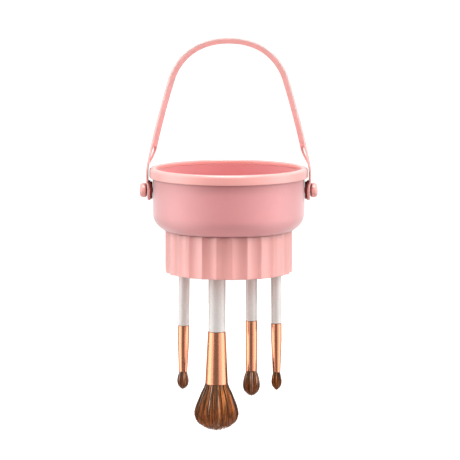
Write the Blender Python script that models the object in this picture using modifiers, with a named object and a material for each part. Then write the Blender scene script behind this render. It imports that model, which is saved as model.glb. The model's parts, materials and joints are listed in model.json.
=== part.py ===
"""A makeup-brush cleaner: a washing bowl that hangs from its bail, with a fluted drying collar
under it that grips four brushes, head down.

Run with blender --background --python part.py, or from Blender's text editor. Lengths are metres
and +Z is up. The frame's origin is on the underside of the bail's arch, at mid-width. Heights
are counted from the bail's pivot axis, which runs along X at PIVOT_Z.
"""

import math

import bmesh
import bpy

MM = 0.001
GAP = 0.3 * MM  # left between pieces that touch, so that no two solids overlap
MERGE = 0.01 * MM

# Bail
PIVOT_Z = -108.8 * MM
ARCH_HEIGHT = 112.8 * MM  # outer edge of the arch's front
SHOULDER_X = 44.5 * MM
SHOULDER_HEIGHT = 81.6 * MM
SHOULDER_LEAN = math.radians(16)
LEG_X = 60.35 * MM
LEG_STRAIGHT_TOP = 13 * MM
STRAP_WIDTH = 14.6 * MM
STRAP_THICKNESS = 1.5 * MM
DISH_ARCH = 4.6 * MM  # how far the strap's back edge lies inside its front edge
DISH_LEG = 3.7 * MM
DISH_STARTS = 14 * MM
DISH_FULL = 31.5 * MM
SLOT_BOTTOM = 17 * MM
SLOT_TOP = 32.5 * MM
SLOT_WIDTH = 10.6 * MM
SLOT_END_STEPS = 12
EYE_RADIUS = 7.3 * MM
EYE_INNER_X = 57.2 * MM
EYE_OUTER_X = 59.5 * MM
EYE_SET = 1.05 * MM  # how far the strap bends in, below the rim, to its eye
EYE_SET_TOP = 6.2 * MM
EYE_SET_BOTTOM = 3.2 * MM
EYE_SET_STEPS = 4

# Pivot hardware, each side
SHANK_RADIUS = 2.0 * MM
SHANK_HOLE_RADIUS = SHANK_RADIUS + GAP
SHANK_INNER_X = 51.6 * MM
KNOB_RADIUS = 5.3 * MM
KNOB_OUTER_X = 65.2 * MM
WASHER_RADIUS = 6.4 * MM
CAP_RADIUS = 4.4 * MM
CAP_INNER_X = 50.3 * MM

# Bowl, heights from the pivot axis
BOWL_RADIUS = 55.6 * MM
BOWL_WALL = 2.2 * MM
BOWL_FILLET = 12.9 * MM
BOWL_BOTTOM = -29.4 * MM
WALL_TOP = 13.7 * MM
SPIGOT_RADIUS = 42.1 * MM
SPIGOT_DROP = 6 * MM

# Rim bead
RIM_RADIUS = 58.0 * MM
RIM_INNER_RADIUS = 53.6 * MM
RIM_TOP = 16.7 * MM
RIM_BOTTOM = 9.45 * MM
RIM_ROUND = 2.1 * MM

# Cleaning mat
MAT_RADIUS = 41.0 * MM
MAT_BASE = 1.6 * MM
MAT_RELIEF = 1.6 * MM
MAT_RIDGE_RADII = (13.0 * MM, 24.0 * MM, 35.0 * MM)
MAT_RIDGE_WIDTH = 2.4 * MM

# Fluted collar and the silicone disc that grips the brushes
COLLAR_RADIUS = 46.45 * MM
COLLAR_BORE_RADIUS = SPIGOT_RADIUS + GAP
COLLAR_BOTTOM = -60.3 * MM
COLLAR_EDGE_ROUND = 0.9 * MM
FLUTES = 26
FLUTE_DEPTH = 1.1 * MM
FLUTE_STEPS = 6
FLUTE_PHASE = math.radians(3.1)
DISC_TOP = -51.5 * MM
DISC_THICKNESS = 3.2 * MM
GROOVE_DEPTH = 1.3 * MM
GRIP_HEIGHT = DISC_TOP - DISC_THICKNESS / 2

# Brushes, with the end of each handle just under the bowl
HANDLE_TOP = -31.0 * MM
OUTER_HOLE_RING = 34.8 * MM
INNER_HOLE_RING = 16.8 * MM
FERRULE_WALL = 0.45 * MM
TENON_LENGTH = 12 * MM
TIP_STEPS = 6
ROOT_LENGTH = 8 * MM

# Each ferrule and head is a list of (height, radius), top to bottom, in millimetres. A head's
# list ends at its widest point, and a dome goes on from there to the tip. A brush leans about
# the middle of its hole, and a positive lean takes its head to the left.
BRUSHES = {
    "shadow_brush": {
        "ring": OUTER_HOLE_RING,
        "angle": math.radians(160),
        "lean": math.radians(0.8),
        "handle_radius": 4.1 * MM,
        "ferrule": [(-102.2, 4.15), (-116.0, 4.1), (-136.6, 3.1)],
        "head": [(-136.6, 2.7), (-139.5, 3.6), (-143.5, 4.25)],
        "tip": -149.9,
    },
    "powder_brush": {
        "ring": INNER_HOLE_RING,
        "angle": math.radians(240),
        "lean": math.radians(0.3),
        "handle_radius": 6.3 * MM,
        "ferrule": [(-102.6, 6.5), (-141.5, 8.35)],
        "head": [
            (-141.5, 7.9),
            (-146.1, 10.4),
            (-152.0, 12.8),
            (-158.0, 15.1),
            (-163.3, 16.2),
        ],
        "tip": -175.6,
    },
    "blending_brush": {
        "ring": INNER_HOLE_RING,
        "angle": 0.0,
        "lean": 0.0,
        "handle_radius": 4.15 * MM,
        "ferrule": [(-96.8, 4.3), (-133.9, 4.2)],
        "head": [(-133.9, 3.8), (-138.0, 5.2), (-142.0, 6.05), (-144.8, 6.25)],
        "tip": -152.7,
    },
    "pencil_brush": {
        "ring": OUTER_HOLE_RING,
        "angle": 0.0,
        "lean": math.radians(-0.4),
        "handle_radius": 3.75 * MM,
        "ferrule": [(-98.8, 3.9), (-111.3, 3.85), (-135.0, 2.85)],
        "head": [(-135.0, 2.45), (-138.5, 3.3), (-142.0, 3.78)],
        "tip": -148.5,
    },
}


def clear_scene():
    for obj in list(bpy.data.objects):
        bpy.data.objects.remove(obj, do_unlink=True)


def make_collection(name, rendered=True):
    collection = bpy.data.collections.new(name)
    collection.hide_render = not rendered
    bpy.context.scene.collection.children.link(collection)
    return collection


def make_material(name, color, roughness, metallic=0.0):
    material = bpy.data.materials.new(name)
    material.use_nodes = True
    shader = material.node_tree.nodes["Principled BSDF"]
    shader.inputs["Base Color"].default_value = (*color, 1.0)
    shader.inputs["Roughness"].default_value = roughness
    shader.inputs["Metallic"].default_value = metallic
    return material


def make_empty(name, location, parent=None):
    empty = bpy.data.objects.new(name, None)
    empty.empty_display_size = 10 * MM
    empty.location = location
    empty.parent = parent
    parts.objects.link(empty)
    return empty


def add_object(name, data, material=None, parent=None):
    """A node of the part, or a hidden cutter if it has no material."""
    obj = bpy.data.objects.new(name, data)
    obj.parent = parent
    if material:
        data.materials.append(material)
        parts.objects.link(obj)
        return obj
    obj.hide_render = True
    obj.display_type = "WIRE"
    cutters.objects.link(obj)
    return obj


def arc(center_x, center_z, radius, start, end, steps):
    """Points on an arc from start to end, in degrees from +X towards +Z."""
    turns = [math.radians(start + (end - start) * i / steps) for i in range(steps + 1)]
    return [(center_x + radius * math.cos(a), center_z + radius * math.sin(a)) for a in turns]


def turned(name, profile, steps, material=None, parent=None, ring=False):
    """A profile turned about Z. A ring's profile is a closed loop that stays off the axis."""
    mesh = bpy.data.meshes.new(name)
    count = len(profile)
    edges = [(i, (i + 1) % count) for i in range(count if ring else count - 1)]
    mesh.from_pydata([(x, 0, z) for x, z in profile], edges, [])
    obj = add_object(name, mesh, material, parent)
    screw = obj.modifiers.new("Turn", "SCREW")
    screw.steps = steps
    screw.render_steps = steps
    screw.use_merge_vertices = True
    screw.merge_threshold = MERGE
    return obj


def boolean(obj, other, operation, name):
    modifier = obj.modifiers.new(name, "BOOLEAN")
    modifier.object = other
    modifier.operation = operation
    modifier.solver = "EXACT"


def outline_object(name, loops, thickness, material=None, parent=None):
    """A flat plate: closed loops of points, the first the outline and the rest its holes."""
    curve = bpy.data.curves.new(name, "CURVE")
    curve.dimensions = "2D"
    curve.fill_mode = "BOTH"
    curve.extrude = thickness / 2
    for loop in loops:
        spline = curve.splines.new("POLY")
        spline.points.add(len(loop) - 1)
        spline.use_cyclic_u = True
        for point, (x, y) in zip(spline.points, loop):
            point.co = (x, y, 0, 1)
    return add_object(name, curve, material, parent)


def as_mesh(obj):
    """The same piece as a closed mesh, which a Boolean can cut."""
    bpy.context.view_layer.update()
    graph = bpy.context.evaluated_depsgraph_get()
    mesh = bpy.data.meshes.new_from_object(obj.evaluated_get(graph))
    welded = bmesh.new()
    welded.from_mesh(mesh)
    bmesh.ops.remove_doubles(welded, verts=welded.verts, dist=MERGE)
    welded.to_mesh(mesh)
    welded.free()
    name = obj.name
    parent = obj.parent
    place = obj.matrix_local.copy()
    material = obj.data.materials[0] if obj.data.materials else None
    bpy.data.objects.remove(obj, do_unlink=True)
    mesh.materials.clear()
    solid = add_object(name, mesh, material, parent)
    solid.matrix_local = place
    return solid


def smooth_step(value, low, high):
    t = min(max((value - low) / (high - low), 0.0), 1.0)
    return t * t * (3 - 2 * t)


def bezier(points, t):
    a, b, c, d = points
    weights = ((1 - t) ** 3, 3 * (1 - t) ** 2 * t, 3 * (1 - t) * t**2, t**3)
    return tuple(sum(w * p[k] for w, p in zip(weights, (a, b, c, d))) for k in (0, 1))


def bail_path():
    """Half of the strap's outer front edge as (x, height), from the arch's middle to the eye."""
    lean = (math.sin(SHOULDER_LEAN), -math.cos(SHOULDER_LEAN))
    shoulder = (SHOULDER_X, SHOULDER_HEIGHT)
    before = tuple(s - 16 * MM * d for s, d in zip(shoulder, lean))
    after = tuple(s + 17 * MM * d for s, d in zip(shoulder, lean))
    arch = ((0, ARCH_HEIGHT), (26.7 * MM, ARCH_HEIGHT), before, shoulder)
    leg = (shoulder, after, (LEG_X, LEG_STRAIGHT_TOP + 12 * MM), (LEG_X, LEG_STRAIGHT_TOP))
    path = [bezier(arch, i / 14) for i in range(14)]
    path += [bezier(leg, 0.5 * i / 7) for i in range(7)]
    path += [bezier(leg, 0.5 + 0.5 * i / 18) for i in range(19)]
    for i in range(EYE_SET_STEPS + 1):
        height = EYE_SET_TOP + (EYE_SET_BOTTOM - EYE_SET_TOP) * i / EYE_SET_STEPS
        inset = EYE_SET * (1 - smooth_step(height, EYE_SET_BOTTOM, EYE_SET_TOP))
        path.append((LEG_X - inset, height))
    path.append((LEG_X - EYE_SET, 0))
    return path


def dish(height):
    """How far in from the front edge the back edge lies, at this height of the strap."""
    full = DISH_LEG + (DISH_ARCH - DISH_LEG) * smooth_step(height, 60 * MM, ARCH_HEIGHT)
    return full * smooth_step(height, DISH_STARTS, DISH_FULL)


def leg_slot():
    """A round-ended bar across the bail, which opens the slot in both legs."""
    radius = SLOT_WIDTH / 2
    half = (SLOT_TOP - SLOT_BOTTOM) / 2 - radius
    outline = arc(0, half, radius, 0, 180, SLOT_END_STEPS)
    outline += arc(0, -half, radius, 180, 360, SLOT_END_STEPS)
    bar = outline_object("leg_slot", [outline], 4 * LEG_X)
    bar.rotation_euler = (math.pi / 2, 0, math.pi / 2)
    bar.location.z = PIVOT_Z + (SLOT_TOP + SLOT_BOTTOM) / 2
    return as_mesh(bar)


def make_bail(material):
    """A dished strap, lofted from its front edge to its back edge, with an eye on each leg."""
    path = bail_path()
    strap = bmesh.new()
    rows = []
    for i, (x, height) in enumerate(path):
        ahead = path[min(i + 1, len(path) - 1)]
        behind = path[max(i - 1, 0)]
        run = math.hypot(ahead[0] - behind[0], ahead[1] - behind[1])
        inward = ((ahead[1] - behind[1]) / run, -(ahead[0] - behind[0]) / run) if i else (0, -1)
        row = []
        for y in (-STRAP_WIDTH / 2, 0, STRAP_WIDTH / 2):
            offset = dish(height) * (0.5 + y / STRAP_WIDTH)
            row.append(strap.verts.new((x + inward[0] * offset, y, height + inward[1] * offset)))
        rows.append(row)
    for upper, lower in zip(rows, rows[1:]):
        for k in (0, 1):
            strap.faces.new((upper[k], lower[k], lower[k + 1], upper[k + 1]))
    for vertex in rows[0]:
        vertex.co.x = 0
    mesh = bpy.data.meshes.new("bail_handle")
    strap.to_mesh(mesh)
    strap.free()
    bail = add_object("bail_handle", mesh, material)
    bail.location.z = PIVOT_Z
    mirror = bail.modifiers.new("Other half", "MIRROR")
    mirror.merge_threshold = MERGE
    thicken = bail.modifiers.new("Thickness", "SOLIDIFY")
    thicken.thickness = STRAP_THICKNESS
    thicken.offset = -1
    thicken.use_even_offset = True
    edges = bail.modifiers.new("Soft edges", "BEVEL")
    edges.width = 0.35 * MM
    edges.segments = 2
    edges.limit_method = "ANGLE"
    edges.angle_limit = math.radians(50)
    boolean(bail, leg_slot(), "DIFFERENCE", "Leg slots")
    for side, name in ((-1, "left"), (1, "right")):
        thickness = EYE_OUTER_X - EYE_INNER_X
        profile = [(0, thickness / 2)]
        profile += arc(EYE_RADIUS - 0.4 * MM, thickness / 2 - 0.4 * MM, 0.4 * MM, 90, 0, 2)
        profile += arc(EYE_RADIUS - 0.4 * MM, -thickness / 2 + 0.4 * MM, 0.4 * MM, 0, -90, 2)
        profile.append((0, -thickness / 2))
        eye = turned(f"{name}_eye", profile, 40)
        place_across(eye, side, (EYE_OUTER_X + EYE_INNER_X) / 2, PIVOT_Z)
        boolean(bail, eye, "UNION", f"{name} eye")
    for side, name in ((-1, "left"), (1, "right")):
        hole = turned(f"{name}_eye_hole", cylinder_profile(SHANK_HOLE_RADIUS, 8 * MM), 24)
        place_across(hole, side, LEG_X, PIVOT_Z)
        boolean(bail, hole, "DIFFERENCE", f"{name} eye hole")


def cylinder_profile(radius, length):
    return [(0, length / 2), (radius, length / 2), (radius, -length / 2), (0, -length / 2)]


def place_across(obj, side, x, z=0.0):
    """Turns a piece's own Z axis outwards along X, on the side given by the sign."""
    obj.rotation_euler = (0, side * math.pi / 2, 0)
    obj.location = (side * x, 0, z)


def make_bowl(material, parent):
    center = (BOWL_RADIUS - BOWL_FILLET, BOWL_BOTTOM + BOWL_FILLET)
    inner = BOWL_RADIUS - BOWL_WALL
    profile = [(0, BOWL_BOTTOM + BOWL_WALL)]
    profile += arc(*center, BOWL_FILLET - BOWL_WALL, -90, 0, 7)
    profile += [(inner, WALL_TOP), (BOWL_RADIUS, WALL_TOP)]
    profile += arc(*center, BOWL_FILLET, 0, -90, 9)
    profile += [
        (SPIGOT_RADIUS, BOWL_BOTTOM),
        (SPIGOT_RADIUS, BOWL_BOTTOM - SPIGOT_DROP),
        (SPIGOT_RADIUS - BOWL_WALL, BOWL_BOTTOM - SPIGOT_DROP),
        (SPIGOT_RADIUS - BOWL_WALL, BOWL_BOTTOM),
        (0, BOWL_BOTTOM),
    ]
    bowl = turned("bowl_shell", profile, 72, material, parent)
    for side, name in ((-1, "left"), (1, "right")):
        hole = turned(f"{name}_wall_hole", cylinder_profile(SHANK_HOLE_RADIUS, 12 * MM), 24)
        place_across(hole, side, BOWL_RADIUS, PIVOT_Z)
        boolean(bowl, hole, "DIFFERENCE", f"{name} wall hole")


def make_rim(material, parent):
    """A bead that sits on the wall's top edge, with a skirt outside it."""
    small = 0.8 * MM
    skirt_inner = BOWL_RADIUS + GAP
    profile = arc(RIM_RADIUS - RIM_ROUND, RIM_TOP - RIM_ROUND, RIM_ROUND, 90, 0, 5)
    profile += arc(RIM_RADIUS - small, RIM_BOTTOM + small, small, 0, -90, 2)
    profile += [(skirt_inner, RIM_BOTTOM), (skirt_inner, WALL_TOP + GAP)]
    profile += [(RIM_INNER_RADIUS, WALL_TOP + GAP)]
    profile += arc(RIM_INNER_RADIUS + small * 1.6, RIM_TOP - small * 1.6, small * 1.6, 180, 90, 4)
    turned("rim_ring", profile, 72, material, parent, ring=True)


def make_mat(material, parent):
    """A loose washing mat with three ridges, lying on the bowl's floor."""
    bottom = BOWL_BOTTOM + BOWL_WALL + GAP
    top = bottom + MAT_BASE
    half = MAT_RIDGE_WIDTH / 2
    profile = [(0, top)]
    for radius in MAT_RIDGE_RADII:
        profile += [
            (radius - half, top),
            (radius - half / 2, top + MAT_RELIEF),
            (radius + half / 2, top + MAT_RELIEF),
            (radius + half, top),
        ]
    profile += [(MAT_RADIUS - 0.5 * MM, top), (MAT_RADIUS, top - 0.5 * MM)]
    profile += [(MAT_RADIUS, bottom), (0, bottom)]
    turned("cleaning_mat", profile, 48, material, parent)


def flute_outline():
    """The collar's outline: concave flutes that meet in sharp ridges."""
    pitch = 2 * math.pi / FLUTES
    points = []
    for i in range(FLUTES):
        for step in range(FLUTE_STEPS):
            turn = pitch * step / FLUTE_STEPS
            chord = COLLAR_RADIUS * math.cos(pitch / 2) / math.cos(turn - pitch / 2)
            across = 2 * step / FLUTE_STEPS - 1
            radius = chord - FLUTE_DEPTH * (1 - across**2)
            angle = -math.pi / 2 + FLUTE_PHASE + i * pitch + turn
            points.append((radius * math.cos(angle), radius * math.sin(angle)))
    return points


def make_collar(material, parent):
    """A fluted cup that presses on to the bowl's spigot, with a groove inside for the disc."""
    top = BOWL_BOTTOM + 3 * MM
    height = top - COLLAR_BOTTOM
    plate = outline_object("fluted_collar", [flute_outline()], height, material, parent)
    plate.location.z = COLLAR_BOTTOM + height / 2
    collar = as_mesh(plate)
    edge = collar.modifiers.new("Bottom edge", "BEVEL")
    edge.width = COLLAR_EDGE_ROUND
    edge.segments = 3
    edge.limit_method = "ANGLE"
    edge.angle_limit = math.radians(75)
    groove = (DISC_TOP + GAP, DISC_TOP - DISC_THICKNESS - GAP)
    bore = [
        (0, top + MM),
        (COLLAR_BORE_RADIUS, top + MM),
        (COLLAR_BORE_RADIUS, groove[0]),
        (COLLAR_BORE_RADIUS + GROOVE_DEPTH, groove[0]),
        (COLLAR_BORE_RADIUS + GROOVE_DEPTH, groove[1]),
        (COLLAR_BORE_RADIUS, groove[1]),
        (COLLAR_BORE_RADIUS, COLLAR_BOTTOM - MM),
        (0, COLLAR_BOTTOM - MM),
    ]
    boolean(collar, turned("collar_bore", bore, 72, parent=parent), "DIFFERENCE", "Bore")
    center = (BOWL_RADIUS - BOWL_FILLET, BOWL_BOTTOM + BOWL_FILLET)
    under_bowl = [(0, 0), (BOWL_RADIUS, 0)]
    under_bowl += arc(*center, BOWL_FILLET + GAP, -10, -90, 12)
    under_bowl.append((0, BOWL_BOTTOM - GAP))
    seat = turned("collar_seat", under_bowl, 72, parent=parent)
    boolean(collar, seat, "DIFFERENCE", "Seat under the bowl")


def circle(center_x, center_y, radius, steps):
    turns = [2 * math.pi * i / steps for i in range(steps)]
    return [(center_x + radius * math.cos(a), center_y + radius * math.sin(a)) for a in turns]


def brush_place(brush):
    return brush["ring"] * math.cos(brush["angle"]), brush["ring"] * math.sin(brush["angle"])


def make_disc(material, parent):
    """The silicone disc, held in the collar's groove, open where the brushes pass."""
    loops = [circle(0, 0, COLLAR_BORE_RADIUS + GROOVE_DEPTH - GAP, 72)]
    for brush in BRUSHES.values():
        loops.append(circle(*brush_place(brush), brush["handle_radius"] + GAP, 24))
    plate = outline_object("brush_grip_disc", loops, DISC_THICKNESS, material, parent)
    plate.location.z = GRIP_HEIGHT
    as_mesh(plate)


def make_pivot(side, name, knob_material, washer_material, parent):
    """A knob whose shank passes the bail's eye, a washer and the wall into a cap inside."""
    head_bottom = EYE_OUTER_X + GAP
    crown = 0.4 * MM
    face_round = 2.4 * MM
    back_round = 1.8 * MM
    face_center = KNOB_OUTER_X - crown - face_round
    knob = [(0, KNOB_OUTER_X), (KNOB_RADIUS - face_round, KNOB_OUTER_X - crown)]
    knob += arc(KNOB_RADIUS - face_round, face_center, face_round, 70, 0, 5)
    knob += arc(KNOB_RADIUS - back_round, head_bottom + back_round, back_round, 0, -90, 4)
    knob += [(SHANK_RADIUS, head_bottom), (SHANK_RADIUS, SHANK_INNER_X), (0, SHANK_INNER_X)]
    place_across(turned(f"{name}_pivot_knob", knob, 32, knob_material, parent), side, 0)

    inner, outer = BOWL_RADIUS + GAP, EYE_INNER_X - GAP
    washer = [
        (WASHER_RADIUS - 0.3 * MM, outer),
        (WASHER_RADIUS, outer - 0.3 * MM),
        (WASHER_RADIUS, inner + 0.3 * MM),
        (WASHER_RADIUS - 0.3 * MM, inner),
        (SHANK_HOLE_RADIUS, inner),
        (SHANK_HOLE_RADIUS, outer),
    ]
    spacer = turned(f"{name}_pivot_washer", washer, 32, washer_material, parent, ring=True)
    place_across(spacer, side, 0)

    mouth = BOWL_RADIUS - BOWL_WALL - 2 * GAP
    bottom = SHANK_INNER_X - GAP
    cap = [
        (0, bottom),
        (SHANK_HOLE_RADIUS, bottom),
        (SHANK_HOLE_RADIUS, mouth),
        (CAP_RADIUS, mouth),
        (CAP_RADIUS, CAP_INNER_X + MM),
        (CAP_RADIUS - MM, CAP_INNER_X),
        (0, CAP_INNER_X),
    ]
    place_across(turned(f"{name}_pivot_cap", cap, 32, knob_material, parent), side, 0)


def radius_at(outline, height):
    """The radius of a brush's outline at a height, both in the outline's own millimetres."""
    for (z0, r0), (z1, r1) in zip(outline, outline[1:]):
        if z0 >= height >= z1:
            return r0 + (r1 - r0) * (z0 - height) / (z0 - z1)
    raise ValueError(height)


def narrowest(ferrule, height):
    """The ferrule's smaller radius, in metres, of its end nearer that height and the height."""
    end = min(ferrule[0], ferrule[-1], key=lambda point: abs(point[0] - height))
    return min(radius_at(ferrule, height), end[1]) * MM


def head_profile(brush):
    """A head's outline below its ferrule: the swell, then a dome down to the tip."""
    widest_height, widest = brush["head"][-1]
    drop = widest_height - brush["tip"]
    outline = brush["head"][1:]
    for step in range(1, TIP_STEPS):
        bend = math.pi / 2 * step / TIP_STEPS
        outline.append((widest_height - drop * math.sin(bend), widest * math.cos(bend)))
    outline.append((brush["tip"], 0))
    return [(radius * MM, height * MM) for height, radius in outline]


def make_brush(name, brush, materials, parent):
    """A handle with a tenon, a tube ferrule over it, and a head rooted in the ferrule."""
    handle_radius = brush["handle_radius"]
    ferrule = brush["ferrule"]
    axis = make_empty(f"{name}_axis", (*brush_place(brush), GRIP_HEIGHT), parent)
    axis.rotation_euler.y = brush["lean"]

    ferrule_top = ferrule[0][0] * MM
    ferrule_end = ferrule[-1][0] * MM
    tenon_end = ferrule_top - TENON_LENGTH
    tenon_radius = narrowest(ferrule, tenon_end / MM) - FERRULE_WALL - GAP
    dome = handle_radius * 0.5
    handle = [(0, HANDLE_TOP)]
    handle += arc(handle_radius - dome, HANDLE_TOP - dome, dome, 90, 0, 4)
    handle += [
        (handle_radius, ferrule_top + GAP),
        (tenon_radius, ferrule_top + GAP),
        (tenon_radius, tenon_end),
        (0, tenon_end),
    ]
    stick = turned(f"{name}_handle", handle, 24, materials["handle"], axis)

    outer = [(radius * MM, height * MM) for height, radius in ferrule]
    inner = [(radius - FERRULE_WALL, height) for radius, height in reversed(outer)]
    tube = turned(f"{name}_ferrule", outer + inner, 24, materials["ferrule"], axis, ring=True)

    root_top = ferrule_end + ROOT_LENGTH
    root_radius = narrowest(ferrule, root_top / MM) - FERRULE_WALL - GAP
    head = [(0, root_top), (root_radius, root_top), (root_radius, ferrule_end)]
    head += head_profile(brush)
    tuft = turned(f"{name}_bristles", head, 24, materials["bristles"], axis)
    for piece in (stick, tube, tuft):
        piece.location.z = -GRIP_HEIGHT


clear_scene()
parts = make_collection("Brush cleaner")
cutters = make_collection("Cutters", rendered=False)

hard_pink = make_material("hard_pink_plastic", (0.86, 0.42, 0.38), 0.38)
soft_pink = make_material("soft_pink_silicone", (0.80, 0.36, 0.36), 0.5)
mat_pink = make_material("mat_pink_silicone", (0.83, 0.33, 0.34), 0.6)
washer_pink = make_material("washer_plastic", (0.40, 0.08, 0.07), 0.5)
brush_materials = {
    "handle": make_material("white_lacquer", (0.86, 0.83, 0.81), 0.25),
    "ferrule": make_material("copper_plate", (0.90, 0.50, 0.27), 0.22, metallic=1.0),
    "bristles": make_material("brown_bristle", (0.25, 0.10, 0.05), 0.6),
}

hinge = make_empty("bowl_hinge", (0, 0, PIVOT_Z))
make_bail(hard_pink)
make_bowl(soft_pink, hinge)
make_rim(hard_pink, hinge)
make_mat(mat_pink, hinge)
make_collar(hard_pink, hinge)
make_disc(mat_pink, hinge)
make_pivot(-1, "left", hard_pink, washer_pink, hinge)
make_pivot(1, "right", hard_pink, washer_pink, hinge)
for brush_name, brush_shape in BRUSHES.items():
    make_brush(brush_name, brush_shape, brush_materials, hinge)
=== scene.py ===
"""Looks for the makeup-brush cleaner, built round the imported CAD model. Lengths are metres."""

import json
import math

import bpy
import numpy as np
from mathutils import Matrix, Vector


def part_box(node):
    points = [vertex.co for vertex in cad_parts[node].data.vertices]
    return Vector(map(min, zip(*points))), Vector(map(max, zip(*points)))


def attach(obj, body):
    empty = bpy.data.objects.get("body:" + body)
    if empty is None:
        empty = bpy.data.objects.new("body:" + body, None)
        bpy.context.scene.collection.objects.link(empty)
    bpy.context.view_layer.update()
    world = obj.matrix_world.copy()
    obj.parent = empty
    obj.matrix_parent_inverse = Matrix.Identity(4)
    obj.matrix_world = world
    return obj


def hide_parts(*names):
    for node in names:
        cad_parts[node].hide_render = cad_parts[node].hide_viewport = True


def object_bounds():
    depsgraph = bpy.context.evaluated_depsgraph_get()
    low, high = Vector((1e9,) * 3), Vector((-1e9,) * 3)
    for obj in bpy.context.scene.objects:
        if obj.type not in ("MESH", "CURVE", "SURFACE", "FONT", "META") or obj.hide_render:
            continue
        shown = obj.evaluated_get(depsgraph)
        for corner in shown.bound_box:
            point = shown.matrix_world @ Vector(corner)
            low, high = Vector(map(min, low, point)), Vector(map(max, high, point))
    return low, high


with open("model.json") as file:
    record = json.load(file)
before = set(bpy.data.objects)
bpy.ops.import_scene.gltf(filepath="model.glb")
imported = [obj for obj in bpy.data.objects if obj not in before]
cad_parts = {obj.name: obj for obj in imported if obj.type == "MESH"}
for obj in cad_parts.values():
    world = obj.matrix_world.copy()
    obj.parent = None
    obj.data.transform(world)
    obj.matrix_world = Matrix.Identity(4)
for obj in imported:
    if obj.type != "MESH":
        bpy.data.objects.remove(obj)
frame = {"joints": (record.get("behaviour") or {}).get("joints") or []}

MM = 0.001
TURN = 2 * math.pi
cad_low, cad_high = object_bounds()
joints = {joint["name"]: joint for joint in frame["joints"]}
PIVOT_Z = joints["bail_swing"]["pos_m"][2]
SIDES = ((-1, "left"), (1, "right"))


# ---------------------------------------------------------------- meshes

def metres(points):
    """Pairs in millimetres as pairs in metres."""
    return [(a * MM, b * MM) for a, b in points]


def rounded(corners, steps=6):
    """A profile in metres from (x, z, corner radius) in millimetres, its corners made round."""
    points = []
    last = len(corners) - 1
    for i, (x, z, radius) in enumerate(corners):
        here = Vector((x, z))
        if radius <= 0 or i in (0, last):
            points.append(here)
            continue
        back = (Vector(corners[i - 1][:2]) - here).normalized()
        ahead = (Vector(corners[i + 1][:2]) - here).normalized()
        half = back.angle(ahead) / 2
        if math.pi / 2 - half < 1e-3:
            points.append(here)
            continue
        tangent = radius / math.tan(half)
        center = here + (back + ahead).normalized() * radius / math.sin(half)
        start = here + back * tangent - center
        sweep = math.pi - 2 * half
        if start.y * back.x - start.x * back.y < 0:
            sweep = -sweep
        for k in range(steps + 1):
            turn = Matrix.Rotation(sweep * k / steps, 2)
            points.append(center + turn @ start)
    return metres(points)


def rounded_ring(corners, steps=6):
    """The same for a closed profile: it starts halfway along the side before the first corner."""
    first, last = Vector(corners[0][:2]), Vector(corners[-1][:2])
    middle = (first + last) / 2
    seam = (middle.x, middle.y, 0)
    return rounded([seam, *corners, seam], steps)[:-1]


def revolve(profile, segments, ring=False):
    """Vertices and faces of a profile of (radius, z), going down its outer side, round Z."""
    verts, faces, rows = [], [], []
    for radius, z in profile:
        if radius < 1e-7:
            rows.append([len(verts)] * segments)
            verts.append((0, 0, z))
            continue
        rows.append(list(range(len(verts), len(verts) + segments)))
        for k in range(segments):
            angle = TURN * k / segments
            verts.append((radius * math.cos(angle), radius * math.sin(angle), z))
    pairs = list(zip(rows, rows[1:]))
    if ring:
        pairs.append((rows[-1], rows[0]))
    for upper, lower in pairs:
        for k in range(segments):
            j = (k + 1) % segments
            corners = dict.fromkeys((upper[k], lower[k], lower[j], upper[j]))
            faces.append(tuple(corners))
    return verts, faces


def bead_section(x, z, radius, count):
    """A small circle for revolve, in metres, from a centre and a radius in millimetres."""
    turns = [TURN * k / count for k in range(count)]
    return metres((x + radius * math.cos(a), z - radius * math.sin(a)) for a in turns)


def joined(*shells):
    """Several (vertices, faces) as one."""
    verts, faces = [], []
    for shell_verts, shell_faces in shells:
        start = len(verts)
        verts += list(shell_verts)
        faces += [tuple(i + start for i in face) for face in shell_faces]
    return verts, faces


def moved(shell, matrix):
    verts, faces = shell
    return [tuple(matrix @ Vector(v)) for v in verts], faces


def across(shell, side):
    """A shell turned about Z, put on the pivot axis with its own +Z pointing outwards."""
    turn = Matrix.Translation((0, 0, PIVOT_Z)) @ Matrix.Rotation(side * math.pi / 2, 4, "Y")
    return moved(shell, turn)


def on_pivot(shell):
    return moved(shell, Matrix.Translation((0, 0, PIVOT_Z)))


def new_object(name, shell):
    mesh = bpy.data.meshes.new(name)
    mesh.from_pydata(shell[0], [], shell[1])
    mesh.validate()
    obj = bpy.data.objects.new(name, mesh)
    bpy.context.scene.collection.objects.link(obj)
    return obj


def combine(obj, other, operation):
    """Cuts or joins obj with another object, which is then gone."""
    modifier = obj.modifiers.new(operation, "BOOLEAN")
    modifier.object = other
    modifier.operation = operation
    modifier.solver = "EXACT"
    settle(obj)
    bpy.data.objects.remove(other, do_unlink=True)


def settle(obj):
    """Applies the modifiers of obj to its mesh."""
    bpy.context.view_layer.update()
    graph = bpy.context.evaluated_depsgraph_get()
    mesh = bpy.data.meshes.new_from_object(obj.evaluated_get(graph))
    obj.modifiers.clear()
    obj.data = mesh


def finish_piece(obj, material, body, node, smooth_angle=32):
    """Shading, material, and the CAD body and node that the piece belongs to."""
    mesh = obj.data
    mesh.materials.clear()
    mesh.materials.append(material)
    mesh.shade_smooth()
    mesh.set_sharp_from_angle(angle=math.radians(smooth_angle))
    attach(obj, body)
    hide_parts(node)


def smooth_step(value, low, high):
    t = min(max((value - low) / (high - low), 0.0), 1.0)
    return t * t * (3 - 2 * t)


# ---------------------------------------------------------------- materials

# Painted shade in creases and under overhangs: the reach, the samples, and the deepest tone.
CREASE_SHADE_REACH = 9 * MM
CREASE_SHADE_SAMPLES = 12
CREASE_SHADE_TONE = (0.26, 0.10, 0.10)
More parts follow.
